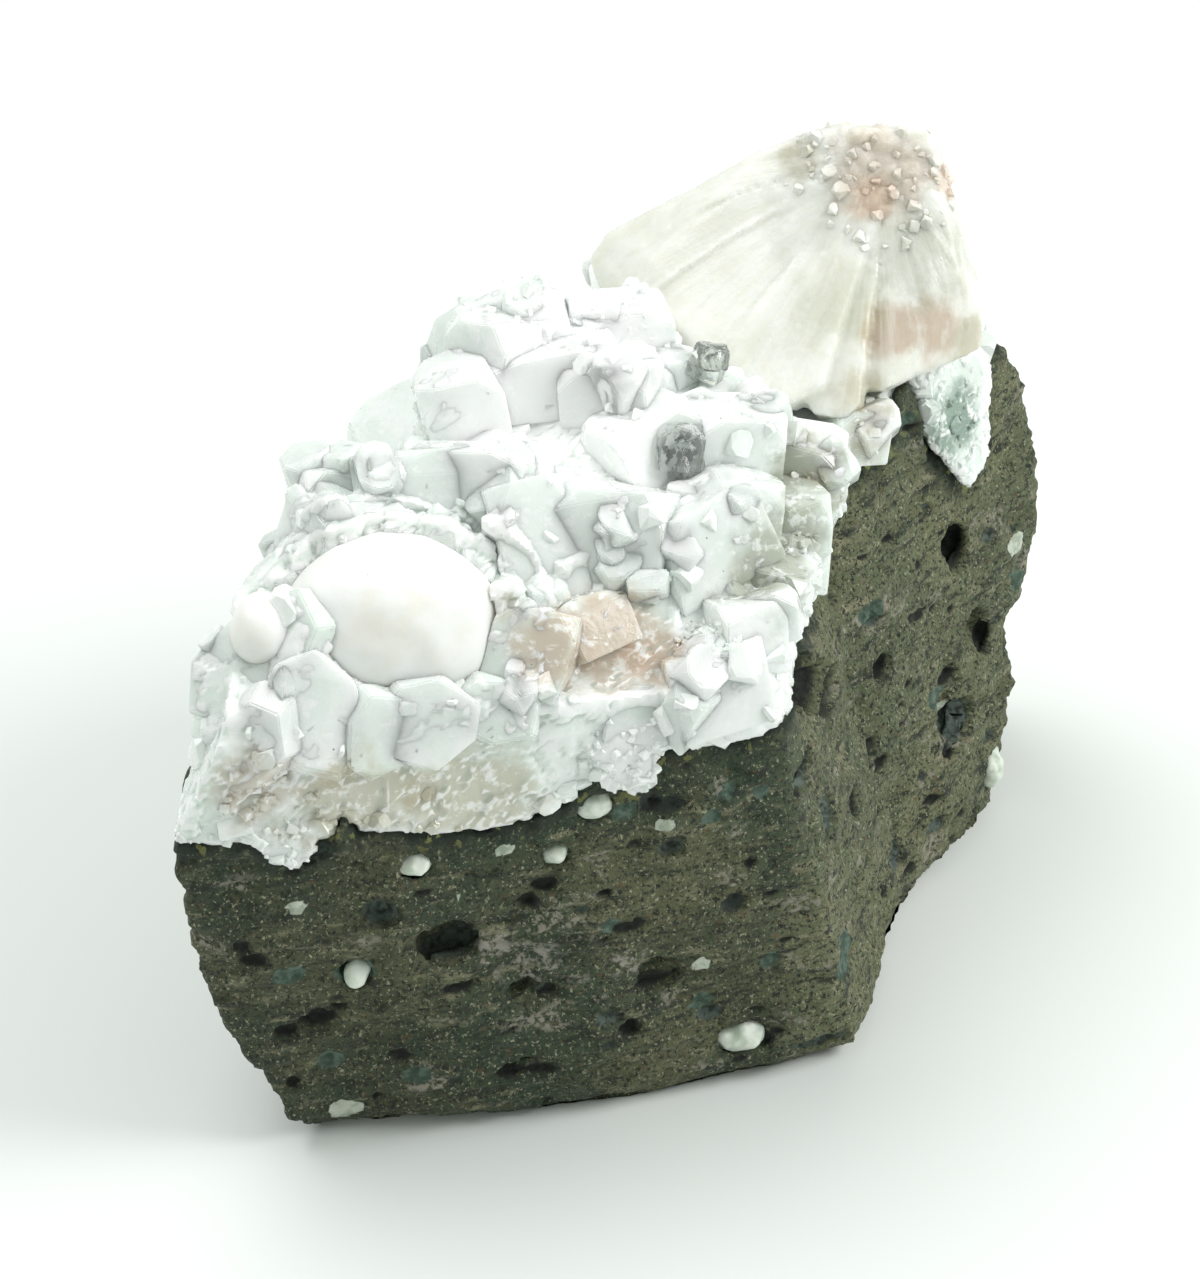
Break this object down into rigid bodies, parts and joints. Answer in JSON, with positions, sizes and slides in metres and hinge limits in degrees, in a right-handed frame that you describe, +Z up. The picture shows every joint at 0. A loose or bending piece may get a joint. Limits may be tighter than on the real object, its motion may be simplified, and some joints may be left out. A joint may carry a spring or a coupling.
{
  "type": "apophyllite cluster",
  "caption": "Mineral specimen: pale blocky crystals, a radiating cream fan and a white dome grown over a broken block of dark, bubbly basalt that rests on a flat underside.",
  "frame": {"origin": "the middle of the bounding box at the flat underside, where the specimen rests", "axes": "+Z up from the flat underside, +X along the longest side of the bounding box and to the right as seen from the broken front face, -Y out of that front face"},
  "size_m": [0.0759, 0.0754, 0.0706],
  "materials": {
    "basalt": "matt, fine-grained, broken surface",
    "apophyllite": "glassy to pearly, milky white with a faint green tint",
    "stilbite": "silky, cream white with peach and orange stains",
    "white_stilbite": "satin white",
    "clear_apophyllite": "clear, glassy",
    "amygdule_white": "porcelain white to grey-green"
  },
  "bodies": {
    "root": {"basalt_matrix": "basalt", "crystal_crust": "apophyllite", "stilbite_fan": "stilbite", "stilbite_dome": "white_stilbite", "stilbite_dome_small": "white_stilbite", "clear_crystal_large": "clear_apophyllite", "clear_crystal_small": "clear_apophyllite", "amygdule_1": "amygdule_white", "amygdule_2": "amygdule_white", "amygdule_3": "amygdule_white", "amygdule_4": "amygdule_white", "amygdule_5": "amygdule_white", "amygdule_6": "amygdule_white"}
  },
  "joints": []
}
